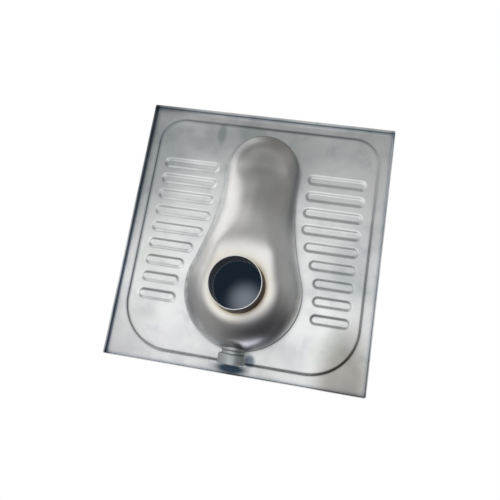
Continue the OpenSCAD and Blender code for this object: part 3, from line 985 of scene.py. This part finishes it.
def rod(name, radius, start, end, segments=160):
    """A plain closed rod, used as a cutter."""
    shape = bmesh.new()
    bmesh.ops.create_cone(shape, cap_ends=True, segments=segments, radius1=radius, radius2=radius,
                          depth=(end - start).length)
    mesh = bpy.data.meshes.new(name)
    shape.to_mesh(mesh)
    shape.free()
    obj = bpy.data.objects.new(name, mesh)
    turn = (end - start).to_track_quat("Z", "Y").to_matrix().to_4x4()
    obj.matrix_world = Matrix.Translation((start + end) / 2) @ turn
    scene.collection.objects.link(obj)
    return obj


outlet_hole = rod("outlet_hole", OUTLET_R - TUBE_WALL,
                  Vector((0, OUTLET_Y, BOTTOM_REAR - OUTLET_SPARE)),
                  Vector((0, OUTLET_Y, BOTTOM_REAR + OUTLET_SPARE)))
inlet_hole = rod("inlet_hole", NIPPLE_R + 0.1 * MM,
                 Vector((0, nipple_low.y - INLET_SPARE, INLET_Z)),
                 Vector((0, nipple_high.y + INLET_SPARE, INLET_Z)))
bowl = thicken(bowl_mesh, "bowl_drawn", [outlet_hole, inlet_hole])
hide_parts("bowl")
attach(bowl, "root")
print("bowl:", len(bowl.data.polygons), "faces")

# %% [markdown]
# ## Bare steel
# Every piece is the same metal with another history: the tray is bright sheet, the bowl is
# rubbed and slightly browned by drawing and welding, the castings are blasted matt.  One
# helper makes them all.  It multiplies faint tints over the metal's colour, each where a
# value between 0 and 1 says, and clouds the roughness, since sheet that was handled and wiped
# is never even.

# %% Steel helper
class Steel(Finish):
    """One metal; each tint is blended over what the tints before it left."""

    def __init__(self, name, colour, roughness):
        super().__init__(name)
        self.colour = (*colour, 1)
        self.roughness = roughness
        metal = {"Metallic": 1.0, "Roughness": roughness, "Base Color": self.colour}
        self.shader = self.add("BsdfPrincipled", metal)
        self.surface(self.shader.outputs["BSDF"])
        self.place = self.add("TexCoord").outputs["Object"]

    def tint(self, share, colour, blend="MULTIPLY"):
        """Blends a colour over the metal where share is 1."""
        inputs = {"Factor": share, 6: self.colour, 7: (*colour, 1)}
        self.colour = self.add("Mix", inputs, data_type="RGBA", blend_type=blend).outputs[2]
        self.fill(self.shader.inputs["Base Color"], self.colour)

    def noise(self, scale, detail, seed):
        """Noise from 0 to 1 in the model's own space; scale counts clouds in a metre."""
        moved = self.vector("ADD", self.place, (seed, 2 * seed, 3 * seed))
        inputs = {"Scale": scale, "Detail": detail, "Vector": moved}
        return self.add("TexNoise", inputs).outputs["Fac"]

    def cloud(self, scale, detail, seed, span, colour):
        """A tint in clouds; span is where in the noise it starts and where it is full."""
        self.tint(self.ramp(self.noise(scale, detail, seed), *span), colour)

    def wiped(self, smooth, rough):
        """Roughness that clouds between two values."""
        cloud = self.noise(scale=9, detail=4, seed=6)
        self.fill(self.shader.inputs["Roughness"], self.ramp(cloud, 0.3, 0.7, smooth, rough))


print("steel helper ready")

# %% [markdown]
# ## Where a tint goes
# Wear, dirt and painted shade sit in places, not all over: along an axis, round a spot, in a fold or on
# the side that looks down.  Each of these is a value that the nodes work out from the surface's own place
# and slope, so it stays on the metal from whatever side the pan is seen.

# %% Places on the metal
EVERY_WAY, IN_PLAN = (1, 1, 1), (1, 1, 0)
CREASE_SAMPLES = 8
CREASE_OPEN, CREASE_SHUT = 0.95, 0.35


def along(steel, axis):
    """The place along one axis."""
    return steel.add("SeparateXYZ", {0: steel.place}).outputs[axis]


def distance(steel, middle, squeeze=EVERY_WAY):
    """How far the surface is from a spot; squeeze weighs the axes, and 0 leaves one out."""
    scaled = steel.vector("MULTIPLY", steel.place, squeeze)
    return steel.vector("DISTANCE", scaled, [m * s for m, s in zip(middle, squeeze)])


def underside(steel):
    """1 where the surface looks down."""
    normal = steel.add("NewGeometry").outputs["Normal"]
    return steel.ramp(steel.add("SeparateXYZ", {0: normal}).outputs["Z"], 0.2, -0.1)


def shade_creases(steel, reach, colour):
    """Painted shade where the sheet folds in on itself, darker where it is more closed in."""
    closed = steel.add("AmbientOcclusion", {"Distance": reach}, samples=CREASE_SAMPLES)
    steel.tint(steel.ramp(closed.outputs["AO"], CREASE_OPEN, CREASE_SHUT), colour)


def tint_spots(steel, spots):
    """Tints round spots; each has a middle, a squeeze, its two distances and a colour."""
    for middle, squeeze, start, full, colour in spots.values():
        steel.tint(steel.ramp(distance(steel, middle, squeeze), start, full), colour)


print("helpers for places ready")

# %% [markdown]
# ## The tray's steel
# The tray's back is bright sheet in which faint blue, green and mauve clouds drift.  Dirt and painted
# shade lie along the step, and spots of painted shade lie by the bowl, the corners and the socket.  A
# painted image would show its pixels close up, and tints worked out by nodes never do.

# %% Painted shade on the tray's back
SHADE_SPOT_CORE = 0.35
# Each entry is a spot of painted shade on the tray's back.
PAINTED_SHADE_SPOTS = {
    "left of the narrow end": ((-0.113, -0.248), 0.40, 0.015, (0.66, 0.70, 0.70)),
    "front left": ((-0.160, -0.243), 0.60, 0.048, (0.86, 0.87, 0.87)),
    "front left corner": ((-0.290, -0.200), 0.50, 0.135, (0.66, 0.685, 0.69)),
    "round the narrow end": ((0.010, -0.205), 1.30, 0.160, (0.70, 0.73, 0.72)),
    "before the narrow end": ((-0.042, -0.258), 1.00, 0.045, (0.76, 0.78, 0.78)),
    "under the socket": ((-0.003, 0.288), 3.20, 0.052, (0.05, 0.08, 0.12)),
    "beside the socket": ((0.036, 0.266), 0.80, 0.016, (0.30, 0.34, 0.42)),
    "rear right corner": ((0.235, 0.285), 0.50, 0.075, (0.55, 0.52, 0.49)),
}


def paint_shade_spots(steel):
    """Painted shade on the side that looks down, in ovals that squeeze makes long or wide."""
    below = underside(steel)
    for (x, y), squeeze, reach, colour in PAINTED_SHADE_SPOTS.values():
        apart = distance(steel, (x, y, 0), (1, squeeze, 0))
        near = steel.ramp(apart, reach, SHADE_SPOT_CORE * reach)
        steel.tint(steel.maths("MULTIPLY", near, below), colour)


# Prints the spots of painted shade.
print("shade_spots:", ", ".join(PAINTED_SHADE_SPOTS))

# %% Shade inside the fold
EDGE_SHADE = 5.5 * MM
# For each axis: half the tray, and the shade's strength at the axis's high and low ends.
EDGE_STRENGTHS = {"X": (TRAY_W / 2, 0.25, 1.0), "Y": (TRAY_L / 2, 0.20, 0.40)}
EDGE_COLOUR = (0.30, 0.35, 0.43)


def shade_fold(steel):
    """A dark line inside the turned-down edge, stronger on the left and in front."""
    past = []
    lines = []
    for axis, (half, at_high, at_low) in EDGE_STRENGTHS.items():
        from_middle = steel.maths("ABSOLUTE", along(steel, axis))
        past.append(steel.maths("SUBTRACT", from_middle, half))
        line = steel.ramp(past[-1], -EDGE_SHADE, -0.5 * EDGE_SHADE)
        strength = steel.ramp(along(steel, axis), half, -half, at_high, at_low)
        lines.append(steel.maths("MULTIPLY", line, strength))
    near = steel.maths("MAXIMUM", *lines)
    below = steel.ramp(along(steel, "Z"), -0.6 * MM, -1.1 * MM)
    inner_face = steel.ramp(steel.maths("MAXIMUM", *past), -0.4 * MM, -0.9 * MM)
    shade = steel.maths("MULTIPLY", steel.maths("MULTIPLY", near, below), inner_face)
    above_lip = steel.ramp(along(steel, "Z"), -0.80 * SKIRT, -0.55 * SKIRT)
    steel.tint(steel.maths("MULTIPLY", shade, above_lip), EDGE_COLOUR)


print("edge shade reaches", round(EDGE_SHADE / MM, 1), "mm in")

# %% Tray steel
STEP_DIRT_AND_SHADE = (0.42, 0.46, 0.49)
TRAY_CREASE_SHADE = (0.52, 0.56, 0.61)


def tray_steel():
    """Bright sheet with faint blue, green and mauve clouds, dirt and painted shade along the step, and
    painted shade in its folds and in spots.
    """
    steel = Steel("steel_tray", colour=(0.96, 0.97, 0.965), roughness=0.32)
    steel.cloud(scale=7, detail=4, seed=1, span=(0.45, 0.72), colour=(0.78, 0.80, 0.83))
    steel.cloud(scale=11, detail=3, seed=4, span=(0.50, 0.74), colour=(0.88, 0.92, 0.89))
    steel.cloud(scale=5, detail=3, seed=9, span=(0.52, 0.75), colour=(0.92, 0.90, 0.95))
    steel.cloud(scale=30, detail=5, seed=2, span=(0.50, 0.80), colour=(0.84, 0.86, 0.88))
    # Dirt and painted shade along the step, stronger towards the front left, on the side that looks down.
    dirt_and_shade = steel.add("Attribute", attribute_name="dirt_and_shade").outputs["Fac"]
    slant = steel.maths("ADD", along(steel, "X"), along(steel, "Y"))
    step_darkening = steel.maths("MULTIPLY", dirt_and_shade, steel.ramp(slant, 0.03, -0.12))
    steel.tint(steel.maths("MULTIPLY", step_darkening, underside(steel)), STEP_DIRT_AND_SHADE)
    # Painted shade in spots on the side that looks down.
    paint_shade_spots(steel)
    # Painted shade in the tray's folds.
    shade_creases(steel, 12 * MM, TRAY_CREASE_SHADE)
    shade_fold(steel)
    steel.wiped(smooth=0.29, rough=0.40)
    return steel.material


tray.data.materials.append(tray_steel())
print("tray:", tray.data.materials[0].name)

# %% [markdown]
# ## The bowl's steel
# The bowl is warmer and duller than the tray, because drawing rubs the sheet.  The weld's heat leaves a
# straw-coloured ring round the outlet, as it does on stainless steel.  Its darker spots are painted
# shade, with some wear at the narrow end.  Each of them is a spot with a soft border: its middle, how it
# is squeezed, the distances at which the tint starts and is full, and the tint.

# %% Painted shade on the bowl
FRONT_SHADE_SPOTS = {
    "right of the narrow end": ((0.060, -0.150, -0.065), EVERY_WAY, 0.150, 0.080, (0.81, 0.805, 0.795)),
    "end cap": ((0.004, -0.222, -0.065), EVERY_WAY, 0.060, 0.020, (0.78, 0.79, 0.79)),
    "foot of the end cap": ((-0.035, -0.240, -0.030), EVERY_WAY, 0.050, 0.020, (0.66, 0.68, 0.68)),
    "band across": ((0.008, -0.164, 0), (0.5, 1, 0), 0.036, 0.008, (0.73, 0.735, 0.74)),
    "crown": ((0.00875, -0.125, 0), (1.6, 1, 0), 0.105, 0.030, (0.79, 0.795, 0.79)),
    "left shoulder": ((-0.056, -0.195, -0.06), EVERY_WAY, 0.048, 0.010, (0.50, 0.51, 0.515)),
}
REAR_SHADE_SPOTS = {
    "rear right": ((0.058, 0.215, -0.085), EVERY_WAY, 0.105, 0.020, (0.34, 0.34, 0.40)),
    "root of the nipple": ((0.004, nipple_low.y, INLET_Z - 4 * MM), EVERY_WAY, 0.048, 0.020,
                           (0.62, 0.62, 0.66)),
}
# Painted shade on the bowl's flanks.
RIGHT_FLANK_SHADE, LEFT_FLANK_SHADE = (0.52, 0.54, 0.57), (0.80, 0.81, 0.83)


def shade_flanks(steel):
    """Painted shade: the right flank is darker in front of the outlet, and the left one slightly darker.
    """
    right = steel.ramp(along(steel, "X"), 0.055, 0.085)
    forward = steel.ramp(along(steel, "Y"), 0.03, -0.06)
    steel.tint(steel.maths("MULTIPLY", right, forward), RIGHT_FLANK_SHADE)
    steel.tint(steel.ramp(along(steel, "X"), -0.060, -0.095), LEFT_FLANK_SHADE)


# The spots listed are painted shade.
print("dull places:", ", ".join([*FRONT_SHADE_SPOTS, *REAR_SHADE_SPOTS]))

# %% Bowl steel
BRIGHT_RING, STRAW_RING = (1.04, 1.01, 0.95), (0.95, 0.86, 0.66)
CUT_EDGE_SHADE = (0.03, 0.04, 0.06)
BOWL_CREASE_SHADE = (0.40, 0.42, 0.47)


def ring_outlet(steel):
    """A bright ring, a straw-coloured one inside it, and painted shade on the cut edge in the spigot."""
    apart = distance(steel, (0, OUTLET_Y, 0), IN_PLAN)
    steel.tint(steel.ramp(apart, 0.085, 0.060), BRIGHT_RING)
    steel.tint(steel.ramp(apart, 0.062, 0.054), STRAW_RING)
    # Painted shade on the bowl's cut edge inside the spigot.
    cut = steel.ramp(apart, OUTLET_R - 0.3 * TUBE_WALL, OUTLET_R - 0.9 * TUBE_WALL)
    steel.tint(cut, CUT_EDGE_SHADE)


def bowl_steel():
    """Drawn and rubbed steel, with painted shade in spots, on its flanks and in its folds, and
    straw-coloured round the outlet weld.
    """
    steel = Steel("steel_bowl", colour=(0.93, 0.925, 0.915), roughness=0.30)
    steel.cloud(scale=8, detail=4, seed=3, span=(0.45, 0.72), colour=(0.93, 0.91, 0.87))
    steel.cloud(scale=20, detail=4, seed=8, span=(0.50, 0.78), colour=(0.92, 0.92, 0.93))
    tint_spots(steel, FRONT_SHADE_SPOTS)
    shade_flanks(steel)
    tint_spots(steel, REAR_SHADE_SPOTS)
    ring_outlet(steel)
    # Painted shade in the bowl's folds.
    shade_creases(steel, 24 * MM, BOWL_CREASE_SHADE)
    steel.wiped(smooth=0.285, rough=0.38)
    return steel.material


bowl.data.materials.append(bowl_steel())
print("bowl:", bowl.data.materials[0].name)

# %% [markdown]
# ## Welds and castings
# A weld bead is rough and burnt by its own heat.  Its right side is browner: heat tint with painted
# shade.  The inlet's nipple and socket are blasted castings, whose rough metal catches light from
# everywhere, so a high roughness gives their look without any relief.

# %% Weld and casting steels
BURN_AND_SHADE = (0.42, 0.36, 0.31)


def weld_steel():
    """A bead that is brighter on the left, and burnt brown with painted shade on the right."""
    steel = Steel("steel_weld", colour=(0.62, 0.60, 0.56), roughness=0.42)
    steel.cloud(scale=60, detail=3, seed=1, span=(0.4, 0.7), colour=(0.80, 0.74, 0.64))
    # Heat tint and painted shade on the right side of the bead.
    steel.tint(steel.ramp(along(steel, "X"), -0.02, 0.04), BURN_AND_SHADE)
    return steel.material


def cast_steel():
    """Blasted castings: a rough metal that catches light from everywhere."""
    steel = Steel("steel_cast", colour=(0.70, 0.73, 0.735), roughness=0.50)
    steel.cloud(scale=40, detail=4, seed=2, span=(0.4, 0.7), colour=(0.84, 0.88, 0.88))
    return steel.material


weld = weld_steel()
cast = cast_steel()
print("made:", weld.name, "and", cast.name)

# %% [markdown]
# ## The outlet tube
# The spigot is thin tube with a bright sawn end.  Its walls are dark, but bare metal at that angle
# mirrors the cards whatever its colour.  So the walls are covered with a dull coat which is no metal:
# painted shade inside, and burnt scale with painted shade outside.  Only the cut end stays bare.

# %% Tube steel
INSIDE_SHADE_COAT, OUTSIDE_SCALE_AND_SHADE = (0.020, 0.028, 0.042), (0.085, 0.072, 0.064)
SHADE_COAT_ROUGH = 0.70
SHADE_COAT_GLINT = 0.02


def shade_coat_over(steel, share, colour, roughness):
    """Covers the metal with a dull dark coat that is no metal, where share is 1: painted shade."""
    steel.tint(share, colour, "MIX")
    steel.fill(steel.shader.inputs["Metallic"], steel.ramp(share, 0, 1, 1, 0))
    steel.fill(steel.shader.inputs["Roughness"], steel.ramp(share, 0, 1, steel.roughness, roughness))


def tube_steel():
    """A rolled tube: burnt scale and painted shade outside, painted shade inside, and a bright cut end.
    """
    steel = Steel("steel_tube", colour=(0.70, 0.70, 0.69), roughness=0.30)
    steel.fill(steel.shader.inputs["Specular IOR Level"], SHADE_COAT_GLINT)
    apart = distance(steel, (0, OUTLET_Y, 0), IN_PLAN)
    inner_wall = steel.ramp(apart, OUTLET_R - 0.4 * TUBE_WALL, OUTLET_R - 0.8 * TUBE_WALL)
    outer_wall = steel.ramp(apart, OUTLET_R - 0.4 * TUBE_WALL, OUTLET_R - 0.1 * TUBE_WALL)
    off_end = steel.ramp(along(steel, "Z"), cad_low.z + 0.2 * MM, cad_low.z + 0.8 * MM)
    shade_coated = steel.maths("MULTIPLY", steel.maths("MAXIMUM", inner_wall, outer_wall), off_end)
    # Painted shade: the walls become a dark coat that is no metal.
    shade_coat_over(steel, shade_coated, INSIDE_SHADE_COAT, SHADE_COAT_ROUGH)
    # Burnt scale and painted shade on the outer wall.
    steel.tint(steel.maths("MULTIPLY", outer_wall, off_end), OUTSIDE_SCALE_AND_SHADE, "MIX")
    return steel.material


tube = tube_steel()
spreader = Steel("steel_spreader", colour=(0.72, 0.73, 0.73), roughness=0.34).material
print("made:", tube.name, "and", spreader.name)

# %% [markdown]
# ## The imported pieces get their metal
# The tubes, the welds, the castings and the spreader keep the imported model's own shapes,
# which are right already.  Only their material slots are filled anew, so nothing moves.

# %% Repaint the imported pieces
PAINTS = {
    "bowl_seam_weld": weld,
    "outlet_weld": weld,
    "inlet_nipple": cast,
    "inlet_weld": cast,
    "inlet_socket": cast,
    "outlet_spigot": tube,
    "flush_spreader": spreader,
}
for node, material in PAINTS.items():
    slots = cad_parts[node].data.materials
    slots.clear()
    slots.append(material)
print("packed pieces repainted:", len(PAINTS))

# %% [markdown]
# ## Close the scene
# The last cell prints by how much, at most, the dressed model's box differs from the imported model's
# box.  The dressed pan may only be a little larger than the imported one.

# %% Sizes and finish
scene_low, scene_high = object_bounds()
growth = [*(scene_low - cad_low), *(scene_high - cad_high)]
print("CAD box and dressed box differ by at most", round(max(abs(v) for v in growth) / MM, 2), "mm")
